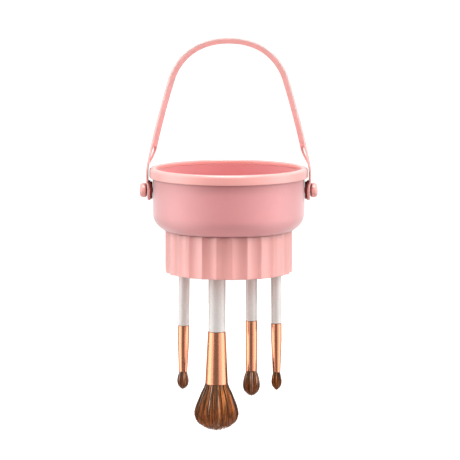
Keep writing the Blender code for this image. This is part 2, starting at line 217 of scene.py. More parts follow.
# The painted highlight along the strap's edges fades in between these heights.
EDGE_HIGHLIGHT_STARTS = PIVOT_Z + 10 * MM
EDGE_HIGHLIGHT_FULL = PIVOT_Z + 28 * MM


def color_sockets(mix):
    """A Mix node's two colour inputs and its colour output."""
    first, second = [s for s in mix.inputs if s.type == "RGBA"]
    return first, second, next(s for s in mix.outputs if s.type == "RGBA")


class Paint:
    """A Principled material with short calls for the nodes that feed it."""

    def __init__(self, name, roughness, **sockets):
        self.material = bpy.data.materials.new(name)
        self.material.use_nodes = True
        self.tree = self.material.node_tree
        self.shader = self.tree.nodes["Principled BSDF"]
        self.shader.inputs["Roughness"].default_value = roughness
        for key, value in sockets.items():
            self.shader.inputs[key.replace("_", " ")].default_value = value
        self.place = self.node("ShaderNodeTexCoord").outputs["Object"]

    def node(self, kind, **settings):
        made = self.tree.nodes.new(kind)
        for key, value in settings.items():
            setattr(made, key, value)
        return made

    def link(self, source, target):
        self.tree.links.new(source, target)

    def stretched(self, scale):
        mapping = self.node("ShaderNodeMapping")
        mapping.inputs["Scale"].default_value = scale
        self.link(self.place, mapping.inputs["Vector"])
        return mapping.outputs["Vector"]

    def noise(self, scale, detail=3, roughness=0.55, place=None):
        made = self.node("ShaderNodeTexNoise")
        made.inputs["Scale"].default_value = scale
        made.inputs["Detail"].default_value = detail
        made.inputs["Roughness"].default_value = roughness
        self.link(place or self.place, made.inputs["Vector"])
        return made.outputs["Fac"]

    def ramp(self, factor, stops):
        made = self.node("ShaderNodeValToRGB")
        elements = made.color_ramp.elements
        while len(elements) < len(stops):
            elements.new(0.5)
        for element, (position, color) in zip(elements, stops):
            element.position = position
            element.color = (*color, 1.0)
        self.link(factor, made.inputs["Fac"])
        return made.outputs["Color"]

    def spread(self, factor, low, high, at=(0.3, 0.7)):
        made = self.node("ShaderNodeMapRange")
        made.inputs["From Min"].default_value = at[0]
        made.inputs["From Max"].default_value = at[1]
        made.inputs["To Min"].default_value = low
        made.inputs["To Max"].default_value = high
        self.link(factor, made.inputs["Value"])
        return made.outputs["Result"]

    def shaded(self, color, reach, deepest):
        """The colour with painted shade: darker in creases narrower than the reach, by up to the
        deepest tone.
        """
        near = self.node("ShaderNodeAmbientOcclusion", samples=CREASE_SHADE_SAMPLES)
        near.inputs["Distance"].default_value = reach
        depth = self.ramp(near.outputs["AO"], [(0.3, deepest), (0.88, (1.0, 1.0, 1.0))])
        made = self.node("ShaderNodeMix", data_type="RGBA", blend_type="MULTIPLY")
        made.inputs["Factor"].default_value = 1.0
        first, second, result = color_sockets(made)
        self.link(color, first)
        self.link(depth, second)
        return result

    def highlight_edges(self, color, highlight_tone, start, end):
        """The colour with a painted highlight: lighter from one distance off the middle to the
        next, in front and behind, except near the pivots."""
        split = self.node("ShaderNodeSeparateXYZ")
        self.link(self.place, split.inputs["Vector"])
        size = self.node("ShaderNodeMath", operation="ABSOLUTE")
        self.link(split.outputs["Y"], size.inputs[0])
        share = self.node("ShaderNodeMath", operation="MULTIPLY")
        self.link(self.spread(size.outputs["Value"], 0, 1, (start, end)), share.inputs[0])
        above = (EDGE_HIGHLIGHT_STARTS, EDGE_HIGHLIGHT_FULL)
        self.link(self.spread(split.outputs["Z"], 0.1, 1, above), share.inputs[1])
        made = self.node("ShaderNodeMix", data_type="RGBA")
        self.link(share.outputs["Value"], made.inputs["Factor"])
        first, second, result = color_sockets(made)
        self.link(color, first)
        second.default_value = (*highlight_tone, 1.0)
        return result

    def bump(self, *heights):
        """Bumps from (height, distance in metres) pairs, one on another."""
        normal = None
        for height, distance in heights:
            made = self.node("ShaderNodeBump")
            made.inputs["Distance"].default_value = distance
            made.inputs["Strength"].default_value = 1.0
            self.link(height, made.inputs["Height"])
            if normal:
                self.link(normal, made.inputs["Normal"])
            normal = made.outputs["Normal"]
        self.link(normal, self.shader.inputs["Normal"])


def shades(color, spread):
    """The colour a little darker, itself, and a little lighter."""
    darker = tuple(c * (1 - spread) for c in color)
    lighter = tuple(min(c * (1 + spread), 1.0) for c in color)
    return darker, color, lighter


def moulded(name, color, roughness, grain, crease_shade=CREASE_SHADE_TONE, edge_highlight=None, **sockets):
    """Moulded plastic or silicone: faint clouds of tone, a painted highlight along the edges where
    one is asked for, painted shade in creases, a fine grain, and specks of polish.
    """
    paint = Paint(name, roughness, **sockets)
    clouds = paint.noise(34, 4)
    dark, plain, light = shades(color, 0.035)
    stops = [(0.25, dark), (0.5, plain), (0.75, light)]
    color = paint.ramp(clouds, stops)
    if edge_highlight:
        color = paint.highlight_edges(color, *edge_highlight)
    color = paint.shaded(color, CREASE_SHADE_REACH, crease_shade)
    paint.link(color, paint.shader.inputs["Base Color"])
    fine = paint.noise(2600, 2)
    paint.link(
        paint.spread(paint.noise(420, 3), roughness - 0.05, roughness + 0.06),
        paint.shader.inputs["Roughness"],
    )
    paint.bump((clouds, 0.04 * MM), (fine, grain))
    return paint.material


hard_pink = moulded(
    "satin_pink_plastic", (0.96, 0.41, 0.375), 0.36, 0.004 * MM,
    Specular_IOR_Level=1.0, Subsurface_Weight=0.06, Subsurface_Radius=(0.004, 0.0016, 0.0012),
    Sheen_Weight=0.35, Sheen_Roughness=0.4,
)
# Painted highlight: the strap's front and back edges are made lighter, where light catches them.
strap_pink = moulded(
    "strap_plastic", (0.99, 0.475, 0.44), 0.46, 0.003 * MM,
    edge_highlight=((1.0, 0.74, 0.71), 5.6 * MM, 6.9 * MM), Specular_IOR_Level=0.3,
)
soft_pink = moulded(
    "matte_pink_silicone", (0.775, 0.28, 0.286), 0.46, 0.007 * MM,
    Specular_IOR_Level=1.0, Subsurface_Weight=0.08, Subsurface_Radius=(0.005, 0.0018, 0.0014),
    Sheen_Weight=0.85, Sheen_Roughness=0.42,
)
mat_pink = moulded(
    "mat_pink_silicone", (0.87, 0.33, 0.34), 0.5, 0.02 * MM,
    Specular_IOR_Level=0.45, Subsurface_Weight=0.12, Subsurface_Radius=(0.005, 0.0018, 0.0014),
)
# Painted shade: the washers are made near-black red for the shade in the narrow gap between the
# strap's eye and the bowl wall, and the shade in their own creases is kept light.
washer_painted_shade = moulded(
    "washer_plastic", (0.30, 0.05, 0.045), 0.55, 0.004 * MM, (0.8, 0.6, 0.6),
    Specular_IOR_Level=0.15,
)


def make_lacquer():
    paint = Paint("white_lacquer", 0.28, Coat_Weight=0.5, Coat_Roughness=0.06)
    stops = [(0.3, (0.90, 0.845, 0.80)), (0.7, (0.93, 0.875, 0.835))]
    color = paint.ramp(paint.noise(60, 3), stops)
    # Painted shade: the handles darken, warmly, where the collar and the other handles crowd them.
    color = paint.shaded(color, 34 * MM, (0.46, 0.40, 0.35))
    paint.link(color, paint.shader.inputs["Base Color"])
    paint.link(paint.spread(paint.noise(900, 3), 0.24, 0.34), paint.shader.inputs["Roughness"])
    paint.bump((paint.noise(240, 2), 0.012 * MM))
    return paint.material


def make_copper():
    paint = Paint("copper_plate", 0.2, Metallic=1.0, Specular_Tint=(0.62, 0.44, 0.28, 1.0))
    streaks = paint.noise(1.0, 4, 0.6, paint.stretched((3200, 3200, 60)))
    stops = [(0.3, (0.63, 0.258, 0.150)), (0.7, (0.68, 0.284, 0.170))]
    paint.link(paint.ramp(streaks, stops), paint.shader.inputs["Base Color"])
    paint.link(paint.spread(streaks, 0.22, 0.27), paint.shader.inputs["Roughness"])
    paint.bump((streaks, 0.0012 * MM))
    return paint.material


def make_hair():
    """Hair whose colour lies in the mesh, strand by strand."""
    paint = Paint("brown_hair", 0.42, Specular_IOR_Level=0.7, Specular_Tint=(1.0, 0.6, 0.35, 1.0))
    color = paint.node("ShaderNodeAttribute", attribute_name="hair_color")
    paint.link(color.outputs["Color"], paint.shader.inputs["Base Color"])
    grain = paint.noise(1.0, 3, 0.6, paint.stretched((5000, 5000, 400)))
    paint.link(paint.spread(grain, 0.36, 0.52), paint.shader.inputs["Roughness"])
    return paint.material


white_lacquer = make_lacquer()
copper = make_copper()
hair = make_hair()


# ---------------------------------------------------------------- bowl, rim and mat

BOWL_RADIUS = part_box("bowl_shell")[1].x / MM
BOWL_WALL = 2.2
BOWL_FILLET = 12.9
BOWL_BOTTOM = -29.4
WALL_TOP = 13.7
SPIGOT_RADIUS = 42.1
SPIGOT_DROP = 6.0
SHANK_HOLE = 2.3
LIP_RADIUS = 47.4
LIP_BEAD = 0.42
RIM_GAP = 0.02
ROOT_DEPTH = 0.3  # how deep a nub or rib is rooted in the mat
MAT_RELIEF = 1.6
MAT_RINGS = (13.0, 24.0, 35.0)
FINE = 224  # segments round a large turned piece


def make_bowl():
    inner = BOWL_RADIUS - BOWL_WALL
    spigot_inner = SPIGOT_RADIUS - BOWL_WALL
    corners = [
        (0, BOWL_BOTTOM + BOWL_WALL, 0),
        (inner, BOWL_BOTTOM + BOWL_WALL, BOWL_FILLET - BOWL_WALL),
        (inner, WALL_TOP, 0.4),
        (BOWL_RADIUS, WALL_TOP, 0.4),
        (BOWL_RADIUS, BOWL_BOTTOM, BOWL_FILLET),
        (SPIGOT_RADIUS, BOWL_BOTTOM, 0.2),
        (SPIGOT_RADIUS, BOWL_BOTTOM - SPIGOT_DROP, 0.4),
        (spigot_inner, BOWL_BOTTOM - SPIGOT_DROP, 0.4),
        (spigot_inner, BOWL_BOTTOM, 0.4),
        (0, BOWL_BOTTOM, 0),
    ]
    lean = math.acos((LIP_RADIUS - BOWL_RADIUS + BOWL_FILLET) / BOWL_FILLET)
    lip_height = BOWL_BOTTOM + BOWL_FILLET * (1 - math.sin(lean))
    lip = revolve(bead_section(LIP_RADIUS, lip_height, LIP_BEAD, 12), FINE, ring=True)
    bowl = new_object("bowl", on_pivot(revolve(rounded(corners, 12), FINE)))
    combine(bowl, new_object("bowl_lip", on_pivot(lip)), "UNION")
    for side, name in SIDES:
        hole = [(0, BOWL_RADIUS + 4), (SHANK_HOLE, BOWL_RADIUS + 4)]
        hole += [(SHANK_HOLE, BOWL_RADIUS - 8), (0, BOWL_RADIUS - 8)]
        drill = new_object(f"{name}_hole", across(revolve(metres(hole), 32), side))
        combine(bowl, drill, "DIFFERENCE")
    finish_piece(bowl, soft_pink, "bowl", "bowl_shell")


def make_rim():
    low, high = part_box("rim_ring")
    outer, top, bottom = high.x / MM, (high.z - PIVOT_Z) / MM, (low.z - PIVOT_Z) / MM
    seat = WALL_TOP + RIM_GAP
    skirt = BOWL_RADIUS + RIM_GAP
    inner = BOWL_RADIUS - BOWL_WALL
    corners = [
        (outer, top, 2.1),
        (outer, bottom, 0.8),
        (skirt, bottom, 0.3),
        (skirt, seat, 0.2),
        (inner, seat, 0.02),
        (inner, top, 1.3),
    ]
    rim = new_object("rim", on_pivot(revolve(rounded_ring(corners, 8), FINE, ring=True)))
    finish_piece(rim, hard_pink, "bowl", "rim_ring")


def dome(x, y, z, radius, height, sides=12, rows=4):
    """A small nub that rises from height z."""
    profile = [
        (radius * math.sin(math.pi / 2 * k / rows), height * math.cos(math.pi / 2 * k / rows))
        for k in range(rows + 1)
    ]
    profile += [(radius, -ROOT_DEPTH), (0, -ROOT_DEPTH)]
    return moved(revolve(metres(profile), sides), Matrix.Translation((x * MM, y * MM, z * MM)))


def rib(angle, start, end, z, width, height):
    """A round-topped rib that runs outwards from the mat's middle."""
    half = [(width / 2, -ROOT_DEPTH), (width / 2, height * 0.45), (width * 0.28, height * 0.88)]
    outline = [(-x, up) for x, up in half] + [(0, height)] + half[::-1]
    count = len(outline)
    verts = []
    for distance, shrink in ((start, 0.35), (start + 0.7, 1), (end - 0.7, 1), (end, 0.35)):
        for across_rib, up in outline:
            rise = up * shrink if up > 0 else up
            x = distance * math.cos(angle) - across_rib * math.sin(angle)
            y = distance * math.sin(angle) + across_rib * math.cos(angle)
            verts.append((x * MM, y * MM, (z + rise) * MM))
    faces = [tuple(range(count)), tuple(range(4 * count - 1, 3 * count - 1, -1))]
    for row in range(3):
        for k in range(count):
            j = (k + 1) % count
            a, b = row * count, (row + 1) * count
            faces.append((a + k, b + k, b + j, a + j))
    return verts, faces


def make_mat():
    """A loose washing mat: nubs in the middle, rings, ribs, and nubs again near the edge."""
    low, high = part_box("cleaning_mat")
    bottom = (low.z - PIVOT_Z) / MM
    top = (high.z - PIVOT_Z) / MM - MAT_RELIEF
    radius = high.x / MM
    profile = [(0, top, 0)]
    for ring in MAT_RINGS:
        profile += [
            (ring - 1.1, top, 0.4),
            (ring - 0.6, top + MAT_RELIEF, 0.5),
            (ring + 0.6, top + MAT_RELIEF, 0.5),
            (ring + 1.1, top, 0.4),
        ]
    profile += [(radius, top, 0.5), (radius, bottom, 0.3), (0, bottom, 0)]
    shells = [revolve(rounded(profile, 4), FINE // 2)]
    for row, (distance, count) in enumerate(((0, 1), (3.4, 6), (6.8, 12), (10.1, 18))):
        for k in range(count):
            angle = TURN * (k + 0.5 * (row % 2)) / count
            place = (distance * math.cos(angle), distance * math.sin(angle))
            shells.append(dome(*place, top, 1.05, 1.35))
    for k in range(40):
        shells.append(rib(TURN * k / 40, 15.2, 21.8, top, 1.1, 1.3))
    for row, distance in enumerate((27.2, 29.6, 32.0)):
        for k in range(60):
            angle = TURN * (k + 0.5 * (row % 2)) / 60
            place = (distance * math.cos(angle), distance * math.sin(angle))
            shells.append(dome(*place, top, 0.9, 1.25, 10, 3))
    for k in range(72):
        shells.append(rib(TURN * k / 72, 37.0, 39.9, top, 1.0, 1.0))
    mat = new_object("washing_mat", on_pivot(joined(*shells)))
    finish_piece(mat, mat_pink, "mat", "cleaning_mat")


make_bowl()
make_rim()
make_mat()


# ---------------------------------------------------------------- collar and grip disc

FLUTES = 26
FLUTE_DEPTH = 1.1
FLUTE_STEPS = 18
FLUTE_PHASE = math.radians(3.1)
COLLAR_RADIUS = 46.75
COLLAR_BORE = 42.4
COLLAR_BOTTOM = (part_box("fluted_collar")[0].z - PIVOT_Z) / MM
DISC_LOW, DISC_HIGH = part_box("brush_grip_disc")
DISC_TOP = (DISC_HIGH.z - PIVOT_Z) / MM
DISC_BOTTOM = (DISC_LOW.z - PIVOT_Z) / MM
DISC_RADIUS = DISC_HIGH.x / MM
GROOVE_DEPTH = 1.3
CUSP_ROUND = 0.16
COLLAR_EDGE = 0.9
EDGE_STEPS = 6
GAP = 0.3  # between pieces that touch
FERRULE_WALL = 0.4
HAIR_LEVELS = 6
HAIR_ROOTED = 1.6  # how far up inside the ferrule a strand starts
RIM_CLUMPS = 0.45  # share of the clumps that stand on the rim
# Painted shade: the dark core inside each tuft stands for the shade deep among the strands.
CORE_SHADE_COLOR = (0.05, 0.02, 0.011)
STAR_RINGS = ((34.8, 18), (16.8, 6), (0, 1))  # radius and number of places
STAR_REACH = 3.6
STAR_RING = 4.5
STAR_ROOM = 5.6
RING_BEAD = 0.4
RING_SUNK = 0.12


def flute_radius(turn):
    """The collar's outer radius, in millimetres, at an angle from the start of a flute."""
    pitch = TURN / FLUTES
    chord = COLLAR_RADIUS * math.cos(pitch / 2) / math.cos(turn - pitch / 2)
    share = 2 * turn / pitch - 1
    soft_cusp = CUSP_ROUND * math.exp(-((1 - abs(share)) / 0.05) ** 2 / 2)
    return chord - FLUTE_DEPTH * (1 - share**2) - soft_cusp


def seat_height(radius):
    """The height of the collar's top, just under the bowl's rounded bottom."""
    center = BOWL_RADIUS - BOWL_FILLET
    reach = BOWL_FILLET + GAP
    if radius <= center:
        return BOWL_BOTTOM - GAP
    drop = math.sqrt(reach**2 - (radius - center) ** 2)
    return BOWL_BOTTOM + BOWL_FILLET - drop


def make_collar():
    """Columns round the collar, each from the bore's top, out, down a flute and up the bore."""
    verts, columns = [], []
    for flute in range(FLUTES):
        for step in range(FLUTE_STEPS):
            turn = TURN / FLUTES * (step / FLUTE_STEPS)
            angle = -math.pi / 2 + FLUTE_PHASE + flute * TURN / FLUTES + turn
            radius = flute_radius(turn)
            top = seat_height(radius) - 0.35
            foot = COLLAR_BOTTOM + COLLAR_EDGE
            column = [(COLLAR_BORE, BOWL_BOTTOM - GAP), (radius - 0.35, seat_height(radius - 0.35))]
            column += [(radius - 0.1, seat_height(radius) - 0.1), (radius, top)]
            column += [(radius, top + (foot - top) * (k / 5)) for k in range(1, 5)]
            for k in range(EDGE_STEPS + 1):
                bend = math.pi / 2 * k / EDGE_STEPS
                out = radius - COLLAR_EDGE + COLLAR_EDGE * math.cos(bend)
                column.append((out, foot - COLLAR_EDGE * math.sin(bend)))
            inner = COLLAR_BORE
            column += [(inner + 0.4, COLLAR_BOTTOM), (inner + 0.1, COLLAR_BOTTOM + 0.12)]
            column += [(inner, COLLAR_BOTTOM + 0.4), (inner, DISC_BOTTOM - GAP)]
            column += [(inner + GROOVE_DEPTH, DISC_BOTTOM - GAP)]
            column += [(inner + GROOVE_DEPTH, DISC_TOP + GAP), (inner, DISC_TOP + GAP)]
            columns.append(list(range(len(verts), len(verts) + len(column))))
            for r, z in column:
                verts.append((r * math.cos(angle) * MM, r * math.sin(angle) * MM, z * MM))
    faces = []
    for i, column in enumerate(columns):
        other = columns[(i + 1) % len(columns)]
        for k in range(len(column)):
            j = (k + 1) % len(column)
            faces.append((column[k], column[j], other[j], other[k]))
    collar = new_object("fluted_collar_skin", on_pivot((verts, faces)))
    finish_piece(collar, hard_pink, "bowl", "fluted_collar", 28)


# ---------------------------------------------------------------- brushes

GRIP_HEIGHT = (DISC_TOP + DISC_BOTTOM) / 2
HEAD_STEPS = 30

# Heights from the pivot axis and radii, top to bottom, in millimetres.
BRUSHES = {
    "shadow_brush": {
        "handle_radius": 4.1,
        "ferrule": [(-102.2, 4.15), (-116.0, 4.1), (-136.6, 3.1)],
        "head": [(-136.6, 2.75), (-139.5, 3.6), (-143.5, 4.25)],
        "tip": -149.9,
        "roundness": 0.52,
        "point": 0.55,
        "strands": 1700,
        "clumps": 110,
    },
    "powder_brush": {
        "handle_radius": 6.3,
        "ferrule": [(-102.6, 6.5), (-141.5, 8.35)],
        "head": [(-141.5, 7.95), (-146.1, 10.4), (-152.0, 12.8), (-158.0, 15.1), (-163.3, 16.2)],
        "tip": -175.6,
        "roundness": 0.48,
        "point": 0.4,
        "strands": 5000,
        "clumps": 400,
    },
    "blending_brush": {
        "handle_radius": 4.15,
        "ferrule": [(-96.8, 4.3), (-133.9, 4.2)],
        "head": [(-133.9, 3.85), (-138.0, 5.2), (-142.0, 6.05), (-144.8, 6.25)],
        "tip": -152.7,
        "roundness": 0.5,
        "point": 0.5,
        "strands": 2600,
        "clumps": 190,
    },
    "pencil_brush": {
        "handle_radius": 3.75,
        "ferrule": [(-98.8, 3.9), (-111.3, 3.85), (-135.0, 2.85)],
        "head": [(-135.0, 2.5), (-138.5, 3.3), (-142.0, 3.78)],
        "tip": -148.5,
        "roundness": 0.62,
        "point": 0.6,
        "strands": 1500,
        "clumps": 96,
    },
}

# Strand tones and their shares. The near-black tone is partly painted shade between the clumps and
# the light grey-tan one partly a painted sheen on the hair; the rest is the hair's own colour.
HAIR_TONES = (
    ((0.006, 0.002, 0.001), 0.43),
    ((0.110, 0.030, 0.009), 0.10),
    ((0.460, 0.130, 0.034), 0.15),
    ((1.000, 0.330, 0.090), 0.18),
    ((0.960, 0.680, 0.560), 0.14),
)
TIP_COLOR = (0.44, 0.115, 0.024)


def brush_axis(name):
    """The point on a brush's own axis where the disc grips it, and the way up along that axis."""
    up = -Vector(joints[f"{name}_pull"]["axis"]).normalized()
    low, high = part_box(f"{name}_handle")
    middle = (low + high) / 2
    grip_z = PIVOT_Z + GRIP_HEIGHT * MM
    return middle + up * ((grip_z - middle.z) / up.z), up


def along_brush(shell, name):
    """A shell made about Z, with heights from the pivot axis, put on the brush's leaning axis."""
    grip, up = brush_axis(name)
    turn = Vector((0, 0, 1)).rotation_difference(up).to_matrix().to_4x4()
    lower = Matrix.Translation((0, 0, -GRIP_HEIGHT * MM))
    return moved(shell, Matrix.Translation(grip) @ turn @ lower)


def head_outline(brush):
    """A head's outline, root to tip, as (height, radius): a smooth swell, then a dome."""
    heights, radii = np.array(brush["head"], float).T
    swell = np.linspace(heights[0], heights[-1], HEAD_STEPS)
    slopes = np.gradient(radii, heights)
    slopes[-1] = 0
    line = []
    for height in swell:
        i = min(int(np.searchsorted(-heights, -height, side="right")) - 1, len(heights) - 2)
        span = heights[i + 1] - heights[i]
        t = (height - heights[i]) / span
        radius = (2 * t**3 - 3 * t**2 + 1) * radii[i] + (t**3 - 2 * t**2 + t) * span * slopes[i]
        radius += (3 * t**2 - 2 * t**3) * radii[i + 1] + (t**3 - t**2) * span * slopes[i + 1]
        line.append((height, radius))
    for step in range(1, HEAD_STEPS + 1):
        bend = math.pi / 2 * step / HEAD_STEPS
        height = heights[-1] + (brush["tip"] - heights[-1]) * math.sin(bend)
        line.append((height, radii[-1] * max(math.cos(bend), 0.0) ** (2 * brush["roundness"])))
    return np.array(line)


def make_hairs(brush, seed):
    """Strands that fan out of the ferrule in clumps, over a dark core that is painted shade deep in
    the tuft: a shell and its colours.
    """
    chance = np.random.default_rng(seed)
    outline = head_outline(brush)
    heights, radii = outline[::-1, 0], np.maximum(outline[::-1, 1], 0)
    widest = int(np.argmax(radii))
    top_radius = radii[widest]
    dome_radii, dome_heights = radii[: widest + 1], heights[: widest + 1]
    mouth, root_radius = brush["head"][0]
    count, point = brush["strands"], brush["point"]

    share = np.sqrt(chance.random(count))
    skin = chance.random(count) < 0.5
    share[skin] = 1 - 0.12 * chance.random(skin.sum()) ** 1.5
    angle = TURN * chance.random(count)
    seats = np.stack([share * np.cos(angle), share * np.sin(angle)], 1)
    clump_share = np.sqrt(chance.random(brush["clumps"]))
    rim_clumps = chance.random(brush["clumps"]) < RIM_CLUMPS
    clump_share[rim_clumps] = 1 - 0.05 * chance.random(rim_clumps.sum())
    clump_angle = TURN * chance.random(brush["clumps"])
    spots = np.arange(rim_clumps.sum()) + 0.7 * chance.random(rim_clumps.sum())
    clump_angle[rim_clumps] = TURN * spots / rim_clumps.sum()
    centers = np.stack([clump_share * np.cos(clump_angle), clump_share * np.sin(clump_angle)], 1)
    clump = np.argmin(((seats[:, None, :] - centers[None]) ** 2).sum(2), 1)
    pull = 0.45 * chance.random(count)

    end_radius = top_radius * np.clip(share, 0, 1) ** (1 / (1 - point))
    end_height = np.interp(end_radius, dome_radii, dome_heights)
    end_height += chance.normal(0, 0.012 * top_radius, count) - 0.03 * top_radius
    start_height = mouth + HAIR_ROOTED
    levels = HAIR_LEVELS
    verts = np.zeros((count, levels + 1, 3, 3))
    thickness = 0.012 * top_radius + 0.07
    sway = chance.normal(0, 0.05, (count, 2))
    drift = chance.normal(0, 0.03, (brush["clumps"], 2))[clump]
    for level in range(levels + 1):
        t = level / levels
        height = start_height + (end_height - start_height) * t
        flow = np.interp(height, heights, radii)
        below = height < heights[widest]
        flow[below] = top_radius * (np.maximum(flow[below], 1e-3) / top_radius) ** point
        flow[height > mouth] = root_radius
        lean_in = (seats + (centers[clump] - seats) * (pull * t)[:, None]) * 0.985
        place = lean_in * flow[:, None] + (0.35 * t**2 * sway + t * drift) * top_radius
        size = thickness * (1 - 0.75 * t**1.5) if level < levels else thickness * 0.16
        spin = angle + TURN / 6
        for corner in range(3):
            turn = spin + TURN * corner / 3
            verts[:, level, corner, 0] = place[:, 0] + size * np.cos(turn)
            verts[:, level, corner, 1] = place[:, 1] + size * np.sin(turn)
            verts[:, level, corner, 2] = height
    over = np.hypot(verts[..., 0], verts[..., 1])
    most = np.interp(verts[..., 2], heights, radii) * 1.01 + 0.08
    most = np.where(verts[..., 2] < heights[0], 0.25, most)
    shrink = np.minimum(1, most / np.maximum(over, 1e-6))
    verts[..., 0] *= shrink
    verts[..., 1] *= shrink

    faces = []
    per_strand = (levels + 1) * 3
    for strand in range(count):
        base = strand * per_strand
        faces.append((base, base + 1, base + 2))
        for level in range(levels):
            row = base + 3 * level
            for corner in range(3):
                j = (corner + 1) % 3
                faces.append((row + corner, row + 3 + corner, row + 3 + j, row + j))
        tip = base + 3 * levels
        faces.append((tip + 2, tip + 1, tip))

    tones = np.array([tone for tone, _ in HAIR_TONES])
    odds = np.array([weight for _, weight in HAIR_TONES])
    clump_tone = tones[chance.choice(len(tones), brush["clumps"], p=odds / odds.sum())]
    own_tone = tones[chance.choice(len(tones), count, p=odds / odds.sum())]
    blend = (0.15 * chance.random(count))[:, None]
    strand_color = clump_tone[clump] * (1 - blend) + own_tone * blend
    strand_color *= (0.52 + 0.4 * chance.random(count))[:, None]
    t = np.linspace(0, 1, levels + 1)[None, :, None]
    to_tip = np.clip((t - 0.35) / 0.65, 0, 1) ** 1.5 * 0.66
    colors = strand_color[:, None, :] * (1 - to_tip) + np.array(TIP_COLOR) * to_tip
    # Painted shade: each strand darker over its first fifth, where it comes out of the ferrule.
    colors = colors * (0.55 + 0.45 * np.clip(t / 0.2, 0, 1))
    waves = 0.7 + 1.6 * chance.random(brush["clumps"])[clump][:, None, None]
    starts = chance.random(brush["clumps"])[clump][:, None, None]
    colors = colors * (1 + 0.45 * np.sin(TURN * (waves * t + starts)))
    own_starts = chance.random(count)[:, None, None]
    colors = colors * (1 + 0.3 * np.sin(TURN * (1.3 * t + own_starts)))
    colors = np.repeat(colors[:, :, None, :], 3, 2)

    core_line = [(0.0, start_height + 3)]
    core_line += [(root_radius * 0.97, start_height + 3), (root_radius * 0.97, mouth)]
    core_line += [(r * 0.9, mouth + (h - mouth) * 0.94) for h, r in outline[2:-1]]
    core_line.append((0.0, mouth + (outline[-1][0] - mouth) * 0.94))
    core = revolve(metres((float(r), float(h)) for r, h in core_line), 40)
    core_shade_colors = np.tile(CORE_SHADE_COLOR, (len(core[0]), 1))
    strands = verts.reshape(-1, 3) * MM
    shell = joined(([tuple(v) for v in strands], faces), core)
    return shell, np.vstack([colors.reshape(-1, 3), core_shade_colors])


def make_brush(name, brush, seed):
    handle_radius, ferrule = brush["handle_radius"], brush["ferrule"]
    top = (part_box(f"{name}_handle")[1].z - PIVOT_Z) / MM - 0.05
    ferrule_top, ferrule_end = ferrule[0][0], ferrule[-1][0]
    tenon = handle_radius - 0.9
    handle = [
        (0, top, 0),
        (handle_radius, top, handle_radius * 0.62),
        (handle_radius, ferrule_top + 0.32, 0.18),
        (tenon, ferrule_top + 0.32, 0),
        (tenon, ferrule_top - 6, 0.3),
        (0, ferrule_top - 6, 0),
    ]
    stick = new_object(f"{name}_stick", along_brush(revolve(rounded(handle, 8), 64), name))
    finish_piece(stick, white_lacquer, name, f"{name}_handle")

    wall = FERRULE_WALL
    corners = [(ferrule[0][1], ferrule_top, 0.16)]
    corners += [(radius, height, 14.0) for height, radius in ferrule[1:-1]]
    end_radius = ferrule[-1][1]
    corners += [(end_radius, ferrule_end, 0.2), (end_radius - wall, ferrule_end, 0.12)]
    corners += [(radius - wall, height, 0) for height, radius in reversed(ferrule[1:-1])]
    corners += [(ferrule[0][1] - wall, ferrule_top, 0.1)]
    shell = revolve(rounded_ring(corners, 6), 64, ring=True)
    tube = new_object(f"{name}_tube", along_brush(shell, name))
    finish_piece(tube, copper, name, f"{name}_ferrule")
    tube.visible_glossy = False

    shell, colors = make_hairs(brush, seed)
    tuft = new_object(f"{name}_hair", along_brush(shell, name))
    layer = tuft.data.color_attributes.new("hair_color", "FLOAT_COLOR", "POINT")
    layer.data.foreach_set("color", np.hstack([colors, np.ones((len(colors), 1))]).ravel())
    finish_piece(tuft, hair, name, f"{name}_bristles", 180)


def circle_points(x, y, radius, count):
    turns = [TURN * k / count for k in range(count)]
    return [(x + radius * math.cos(a), y + radius * math.sin(a)) for a in turns]


def star(x, y, radius, arms, reach, slit=0.22):
    """A round hole with slits that run out from it. Radius 0 leaves the slits alone."""
    points = []
    root = max(radius, slit / (2 * math.sin(math.pi / arms)))
    spread = math.asin(min(slit / 2 / root, 1.0))
    for arm in range(arms):
        middle = TURN * arm / arms + 0.3
        for distance, offset in ((root, -spread), (reach, None), (root, spread)):
            if offset is None:
                for side in (-1, 1):
                    swing = side * math.asin(slit / 2 / reach)
                    points.append((middle + swing, reach))
            else:
                points.append((middle + offset, distance))
        gap = TURN / arms - 2 * spread
        if radius > 0:
            points += [(middle + spread + gap * k / 6, root) for k in range(1, 6)]
    return [(x + r * math.cos(a), y + r * math.sin(a)) for a, r in points]


